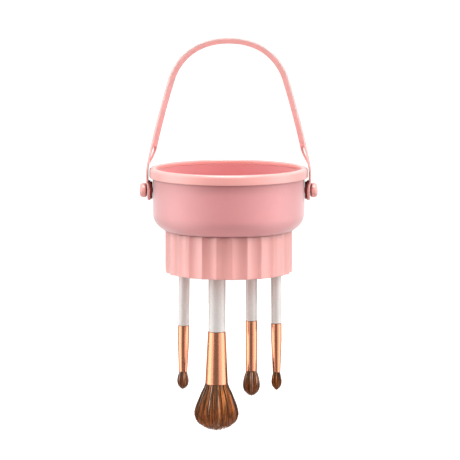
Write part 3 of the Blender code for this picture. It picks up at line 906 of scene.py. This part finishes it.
def make_disc():
    """The soft disc: slit stars at the free places, slits round every brush, raised rings."""
    curve = bpy.data.curves.new("grip_disc", "CURVE")
    curve.dimensions = "2D"
    curve.fill_mode = "BOTH"
    curve.extrude = (DISC_HIGH.z - DISC_LOW.z) / 2
    taken = []
    loops = [circle_points(0, 0, DISC_RADIUS, 160)]
    for name, brush in BRUSHES.items():
        grip, _ = brush_axis(name)
        x, y, radius = grip.x / MM, grip.y / MM, brush["handle_radius"]
        taken.append((x, y, radius))
        loops.append(star(x, y, radius + 0.12, 8, radius + 1.5))
    rings = [(x, y, radius + 2.1) for x, y, radius in taken]
    for ring, count in STAR_RINGS:
        for k in range(count):
            x, y = ring * math.cos(TURN * k / count), ring * math.sin(TURN * k / count)
            if all(math.hypot(x - a, y - b) > radius + STAR_ROOM for a, b, radius in taken):
                loops.append(star(x, y, 0, 6, STAR_REACH))
                rings.append((x, y, STAR_RING))
    for loop in loops:
        spline = curve.splines.new("POLY")
        spline.points.add(len(loop) - 1)
        spline.use_cyclic_u = True
        for point, (x, y) in zip(spline.points, loop):
            point.co = (x * MM, y * MM, 0, 1)
    flat = bpy.data.objects.new("grip_disc_curve", curve)
    bpy.context.scene.collection.objects.link(flat)
    flat.location.z = (DISC_HIGH.z + DISC_LOW.z) / 2
    bpy.context.view_layer.update()
    graph = bpy.context.evaluated_depsgraph_get()
    mesh = bpy.data.meshes.new_from_object(flat.evaluated_get(graph))
    mesh.transform(flat.matrix_world)
    plate = ([tuple(v.co) for v in mesh.vertices], [tuple(f.vertices) for f in mesh.polygons])
    bpy.data.objects.remove(flat, do_unlink=True)
    shells = [plate]
    for x, y, radius in rings:
        for height, way in ((DISC_HIGH.z, 1), (DISC_LOW.z, -1)):
            bead = revolve(bead_section(radius, 0, RING_BEAD, 10), 40, ring=True)
            place = (x * MM, y * MM, height - way * RING_SUNK * MM)
            shells.append(moved(bead, Matrix.Translation(place)))
    disc = new_object("grip_disc", joined(*shells))
    finish_piece(disc, mat_pink, "bowl", "brush_grip_disc")


make_collar()
for index, (brush_name, brush_shape) in enumerate(BRUSHES.items()):
    make_brush(brush_name, brush_shape, 40 + index)
make_disc()


# ---------------------------------------------------------------- bail and its pivots

ARCH_HEIGHT = 112.8
SHOULDER = (44.5, 81.6)
SHOULDER_LEAN = math.radians(16)
LEG_X = 60.35
LEG_STRAIGHT_TOP = 13.0
STRAP_WIDTH = 14.6
STRAP_THICKNESS = 1.5
DISH_ARCH = 4.6
DISH_LEG = 3.7
DISH_STARTS = 14.0
DISH_FULL = 31.5
SLOT_BOTTOM = 17.0
SLOT_TOP = 32.5
SLOT_WIDTH = 10.6
SLOT_BAR = 90  # the slot cutter's half length
EYE_RADIUS = 7.3
EYE_INNER_X = 57.2
EYE_OUTER_X = 59.5
EYE_SET = 1.05  # how far the strap bends in, below the rim, to its eye
EYE_SET_TOP = 6.2
EYE_SET_BOTTOM = 3.2
STRAP_COLUMNS = 12
STRAP_STATIONS = 190
STRAP_EDGE = 0.42


def bezier(points, t):
    a, b, c, d = (np.array(p, float) for p in points)
    return (1 - t) ** 3 * a + 3 * (1 - t) ** 2 * t * b + 3 * (1 - t) * t**2 * c + t**3 * d


def bail_line():
    """Half of the strap's outer front edge as (x, height), from the arch's middle down."""
    lean = np.array((math.sin(SHOULDER_LEAN), -math.cos(SHOULDER_LEAN)))
    shoulder = np.array(SHOULDER)
    arch = ((0, ARCH_HEIGHT), (26.7, ARCH_HEIGHT), shoulder - 16 * lean, shoulder)
    leg_end = (LEG_X, LEG_STRAIGHT_TOP)
    leg = (shoulder, shoulder + 17 * lean, (LEG_X, LEG_STRAIGHT_TOP + 12), leg_end)
    line = [bezier(arch, i / 60) for i in range(60)] + [bezier(leg, i / 80) for i in range(81)]
    for height in np.linspace(12, -8, 61):
        inset = EYE_SET * (1 - smooth_step(height, EYE_SET_BOTTOM, EYE_SET_TOP))
        line.append(np.array((LEG_X - inset, height)))
    return np.array(line)


def dish(height):
    full = DISH_LEG + (DISH_ARCH - DISH_LEG) * smooth_step(height, 60, ARCH_HEIGHT)
    return full * smooth_step(height, DISH_STARTS, DISH_FULL)


def strap_places(line):
    """The length along the line and the inward direction, at each of its points."""
    steps = np.hypot(*np.diff(line, axis=0).T)
    length = np.concatenate([[0], np.cumsum(steps)])
    slope = np.gradient(line, length, axis=0)
    slope[0] = (1, 0)
    slope /= np.hypot(slope[:, 0], slope[:, 1])[:, None]
    inward = np.stack([slope[:, 1], -slope[:, 0]], 1)
    return length, inward


def make_strap_shell():
    """The strap as one skin with rounded edges. Its slots are cut later."""
    line = bail_line()
    length, inward = strap_places(line)
    by_height = line[:, 1][::-1], length[::-1]

    def skin(s, y):
        x, height = np.interp(s, length, line[:, 0]), np.interp(s, length, line[:, 1])
        nx, nz = np.interp(s, length, inward[:, 0]), np.interp(s, length, inward[:, 1])
        offset = dish(height) * (0.5 + y / STRAP_WIDTH)
        return Vector((x + nx * offset, y, height + nz * offset))

    def place(s, y, depth):
        here = skin(s, y)
        along = (skin(s + 0.3, y) - skin(max(s - 0.3, 0), y)).normalized()
        across_strap = (skin(s, y + 0.3) - skin(s, y - 0.3)).normalized()
        normal = along.cross(across_strap).normalized()
        if normal.dot(Vector((-here.x, 0, 30 - here.z))) < 0:
            normal.negate()
        return here + normal * depth

    def section(edge_low, edge_high):
        """A closed outline across the strap: (y, depth), between two edges, with round corners."""
        r = STRAP_EDGE
        points = []
        for k in range(STRAP_COLUMNS + 1):
            points.append((edge_low + r + (edge_high - edge_low - 2 * r) * k / STRAP_COLUMNS, 0))
        for k in range(1, 4):
            bend = math.pi / 2 * k / 4
            points.append((edge_high - r + r * math.sin(bend), r - r * math.cos(bend)))
        points += [(edge_high, r), (edge_high, STRAP_THICKNESS - r)]
        for k in range(1, 4):
            bend = math.pi / 2 * k / 4
            points.append(
                (edge_high - r + r * math.cos(bend), STRAP_THICKNESS - r + r * math.sin(bend))
            )
        return points + [
            (edge_low + edge_high - y, STRAP_THICKNESS - depth) for y, depth in points
        ]

    end = float(np.interp(1.2, *by_height))
    stations = list(np.linspace(0, end, STRAP_STATIONS))
    outline = section(-STRAP_WIDTH / 2, STRAP_WIDTH / 2)
    count = len(outline)
    verts, faces = [], []
    for s in stations:
        verts += [place(s, y, depth) for y, depth in outline]
    for row in range(len(stations) - 1):
        for k in range(count):
            j = (k + 1) % count
            a, b = row * count, (row + 1) * count
            faces.append((a + k, b + k, b + j, a + j))
    last = (len(stations) - 1) * count
    faces.append(tuple(last + k for k in reversed(range(count))))
    mirrored = [Vector((-v.x, v.y, v.z)) for v in verts[count:]]
    start = len(verts)

    def other(i):
        return i if i < count else i - count + start

    faces += [tuple(reversed([other(i) for i in face])) for face in faces]
    return [tuple(v * MM) for v in verts + mirrored], faces


def make_bail():
    bail = new_object("bail", on_pivot(make_strap_shell()))
    radius = SLOT_WIDTH / 2
    half = (SLOT_TOP - SLOT_BOTTOM) / 2 - radius
    bends = [math.pi * k / 32 for k in range(33)]
    outline = [(radius * math.cos(a), half + radius * math.sin(a)) for a in bends]
    outline += [(-y, -h) for y, h in outline]
    middle = (SLOT_TOP + SLOT_BOTTOM) / 2
    count = len(outline)
    bar = []
    for x in (-SLOT_BAR, SLOT_BAR):
        bar += [(x * MM, y * MM, (middle + h) * MM) for y, h in outline]
    sides = [(k, (k + 1) % count, count + (k + 1) % count, count + k) for k in range(count)]
    ends = [tuple(reversed(range(count))), tuple(range(count, 2 * count))]
    combine(bail, new_object("slot_bar", on_pivot((bar, sides + ends))), "DIFFERENCE")
    for side, name in SIDES:
        corners = [
            (EYE_RADIUS, EYE_OUTER_X, 0.5),
            (EYE_RADIUS, EYE_INNER_X, 0.5),
            (SHANK_HOLE, EYE_INNER_X, 0.15),
            (SHANK_HOLE, EYE_OUTER_X, 0.15),
        ]
        shell = across(revolve(rounded_ring(corners, 5), 72, ring=True), side)
        combine(bail, new_object(f"{name}_eye", shell), "UNION")
    finish_piece(bail, strap_pink, "bail", "bail_handle", 38)


def make_pivots():
    knob_low, knob_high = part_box("right_pivot_knob")
    knob_radius = (knob_high.z - knob_low.z) / 2 / MM
    outer, inner = knob_high.x / MM, knob_low.x / MM
    head = EYE_OUTER_X + GAP
    washer_low, washer_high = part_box("right_pivot_washer")
    washer_radius = washer_high.y / MM
    cap_low, cap_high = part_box("right_pivot_cap")
    cap_radius = cap_high.y / MM
    for side, name in SIDES:
        knob = [
            (0, outer - 0.3, 0),
            (1.5, outer - 0.3, 0.4),
            (1.9, outer, 0.4),
            (knob_radius, outer - 0.15, 2.4),
            (knob_radius, head, 1.8),
            (2.0, head, 0.2),
            (2.0, inner, 0.2),
            (0, inner, 0),
        ]
        piece = new_object(f"{name}_knob", across(revolve(rounded(knob, 8), 72), side))
        finish_piece(piece, hard_pink, "bowl", f"{name}_pivot_knob")
        washer = [
            (washer_radius, EYE_INNER_X - 0.05, 0.3),
            (washer_radius, washer_low.x / MM, 0.3),
            (SHANK_HOLE, washer_low.x / MM, 0),
            (SHANK_HOLE, EYE_INNER_X - 0.05, 0),
        ]
        shell = across(revolve(rounded_ring(washer, 5), 72, ring=True), side)
        piece = new_object(f"{name}_washer", shell)
        finish_piece(piece, washer_painted_shade, "bowl", f"{name}_pivot_washer")
        cap = [
            (0, inner - 0.3, 0),
            (SHANK_HOLE, inner - 0.3, 0),
            (SHANK_HOLE, cap_high.x / MM, 0),
            (cap_radius, cap_high.x / MM, 0.2),
            (cap_radius, cap_low.x / MM, 0.9),
            (0, cap_low.x / MM, 0),
        ]
        piece = new_object(f"{name}_cap", across(revolve(rounded(cap, 6), 64), side))
        finish_piece(piece, hard_pink, "bowl", f"{name}_pivot_cap")


make_bail()
make_pivots()


# ---------------------------------------------------------------- floor, light and camera

FLOOR_SIZE = 30.0
FLOOR_DROP = 1.25
BACKDROP_RADIUS = 9.0
BACKDROP_HEIGHT = 10.0
AIM = Vector((0.001, 0, -0.1383))
CAMERA_DISTANCE = 2.4
CAMERA_ELEVATION = math.radians(7.2)
FRAME_WIDTH = 0.33764
SENSOR = 36.0
FLOOR_GLOW = 0.8
WORLD_BY_DEPTH = ((0.0, 0.34), (0.48, 0.58), (1.0, 1.2))
WORLD_BY_HEIGHT = ((0.0, 0.92), (0.5, 0.95), (1.0, 1.1))
WORLD_STRENGTH = 1.0


def make_floor():
    """White paper, and a ring of it that only the camera sees, kept inside each view's reach."""
    half = FLOOR_SIZE / 2
    corners = [(-half, -half, 0), (half, -half, 0), (half, half, 0), (-half, half, 0)]
    floor = new_object("floor", (corners, [(0, 1, 2, 3)]))
    floor.location.z = cad_low.z - FLOOR_DROP
    floor.visible_diffuse = False
    floor.visible_glossy = False
    paint = Paint("floor_paper", 0.9, Specular_IOR_Level=0.1)
    stops = [(0.3, (0.90, 0.90, 0.90)), (0.7, (0.92, 0.92, 0.92))]
    paint.link(paint.ramp(paint.noise(6, 2), stops), paint.shader.inputs["Base Color"])
    paint.shader.inputs["Emission Color"].default_value = (1, 1, 1, 1)
    paint.shader.inputs["Emission Strength"].default_value = FLOOR_GLOW
    floor.data.materials.append(paint.material)
    foot = floor.location.z - 1
    sweep = revolve([(BACKDROP_RADIUS, BACKDROP_HEIGHT), (BACKDROP_RADIUS, foot)], 96)
    backdrop = new_object("backdrop", sweep)
    backdrop.visible_diffuse = backdrop.visible_glossy = backdrop.visible_shadow = False
    backdrop.data.materials.append(paint.material)


def make_world():
    """A studio that is dim towards the camera and below, and lighter behind and above."""
    world = bpy.data.worlds.new("studio")
    world.use_nodes = True
    nodes, links = world.node_tree.nodes, world.node_tree.links
    place = nodes.new("ShaderNodeTexCoord")
    split = nodes.new("ShaderNodeSeparateXYZ")
    links.new(place.outputs["Generated"], split.inputs["Vector"])
    tones = []
    for axis, stops in (("Y", WORLD_BY_DEPTH), ("Z", WORLD_BY_HEIGHT)):
        spread = nodes.new("ShaderNodeMapRange")
        spread.inputs["From Min"].default_value = -1.0
        spread.inputs["From Max"].default_value = 1.0
        links.new(split.outputs[axis], spread.inputs["Value"])
        ramp = nodes.new("ShaderNodeValToRGB")
        elements = ramp.color_ramp.elements
        elements.new(0.5)
        for element, (position, tone) in zip(elements, stops):
            element.position = position
            element.color = (tone, tone, tone, 1)
        links.new(spread.outputs["Result"], ramp.inputs["Fac"])
        tones.append(ramp.outputs["Color"])
    product = nodes.new("ShaderNodeMix")
    product.data_type = "RGBA"
    product.blend_type = "MULTIPLY"
    product.inputs["Factor"].default_value = 1.0
    first, second, result = color_sockets(product)
    links.new(tones[0], first)
    links.new(tones[1], second)
    background = nodes["Background"]
    links.new(result, background.inputs["Color"])
    background.inputs["Strength"].default_value = WORLD_STRENGTH
    bpy.context.scene.world = world


def make_light(name, location, size, power, diffuse=True, glossy=True):
    """A soft box that faces the object."""
    light = bpy.data.lights.new(name, "AREA")
    light.shape = "RECTANGLE"
    light.size, light.size_y = size
    light.energy = power
    obj = bpy.data.objects.new(name, light)
    obj.location = location
    way = AIM - Vector(location)
    obj.rotation_euler = way.to_track_quat("-Z", "Y").to_euler()
    obj.visible_camera = False
    obj.visible_diffuse = diffuse
    obj.visible_glossy = glossy
    bpy.context.scene.collection.objects.link(obj)


def make_camera():
    lens = SENSOR * CAMERA_DISTANCE / FRAME_WIDTH
    data = bpy.data.cameras.new("camera")
    data.sensor_width = SENSOR
    data.lens = lens
    data.clip_start = 0.05
    data.clip_end = 200
    camera = bpy.data.objects.new("camera", data)
    back = Vector((0, -math.cos(CAMERA_ELEVATION), math.sin(CAMERA_ELEVATION)))
    camera.location = AIM + back * CAMERA_DISTANCE
    camera.rotation_euler = (-back).to_track_quat("-Z", "Y").to_euler()
    bpy.context.scene.collection.objects.link(camera)
    bpy.context.scene.camera = camera


make_floor()
make_world()
make_light("left_fill", (-1.45, -0.1, 0.5), (1.4, 1.5), 8, glossy=False)
make_light("right_fill", (1.4, -0.1, 0.75), (1.4, 1.5), 12, glossy=False)
make_light("low_fill", (0.1, -1.0, -1.35), (2.8, 1.2), 12.0, glossy=False)
make_light("left_box", (-1.5, -0.18, -0.36), (1.25, 2.7), 28, diffuse=False)
make_light("right_box", (1.5, -0.24, -0.36), (1.25, 2.7), 25, diffuse=False)
make_light("left_strip", (-1.24, -1.09, -0.1), (0.6, 1.8), 4.6, diffuse=False)
make_light("right_strip", (1.08, -1.25, -0.1), (1.1, 1.8), 7.0, diffuse=False)
make_light("top_box", (0, -0.45, 1.4), (0.9, 0.7), 26)
make_camera()
bpy.context.scene.view_settings.view_transform = "Standard"
